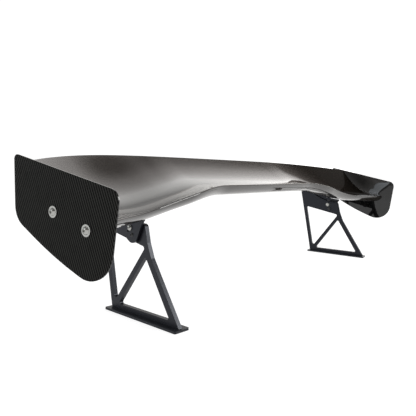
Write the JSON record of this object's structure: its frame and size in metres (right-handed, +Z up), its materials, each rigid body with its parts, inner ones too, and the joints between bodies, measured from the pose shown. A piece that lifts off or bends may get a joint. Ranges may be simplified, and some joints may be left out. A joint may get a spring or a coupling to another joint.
{
  "type": "racing rear wing",
  "caption": "Carbon racing rear wing with a raised middle and drooped tips, flat endplates and machined uprights on flat feet. It tilts on the uprights to set its angle.",
  "frame": {"origin": "on the floor, in the middle of the wing's length and of its width", "axes": "+Z up, the leading edge faces -Y, X along the span"},
  "size_m": [1.5376, 0.3313, 0.334],
  "materials": {
    "carbon_gloss": "glossy",
    "carbon_twill": "satin",
    "black_anodised": "satin",
    "aluminium": "machined",
    "stainless": "polished",
    "black_steel": "satin"
  },
  "bodies": {
    "uprights": {"upright_left": "black_anodised", "upright_right": "black_anodised", "foot_left": "black_anodised", "foot_right": "black_anodised", "foot_screws": "stainless", "pivot_bolts": "stainless", "pivot_washers": "stainless", "pivot_nuts": "stainless"},
    "wing": {"wing_upper_skin": "carbon_gloss", "wing_lower_skin": "carbon_gloss", "wing_front_spar": "carbon_gloss", "wing_rear_spar": "carbon_gloss", "tip_rib_left": "aluminium", "tip_rib_right": "aluminium", "mount_block_left": "aluminium", "mount_block_right": "aluminium", "endplate_left": "carbon_twill", "endplate_right": "carbon_twill", "endplate_screws": "stainless", "endplate_washers": "stainless", "wing_bracket_left": "black_anodised", "wing_bracket_right": "black_anodised", "bracket_screws": "black_steel", "adjusting_bolts": "black_steel", "adjusting_washers": "black_steel", "adjusting_nuts": "black_steel"}
  },
  "joints": [
    {"name": "angle_of_attack", "type": "hinge", "parent": "uprights", "child": "wing", "pos_m": [0, 0.01278, 0.185], "axis": [1, 0, 0], "range_deg": [-5, 8]}
  ]
}
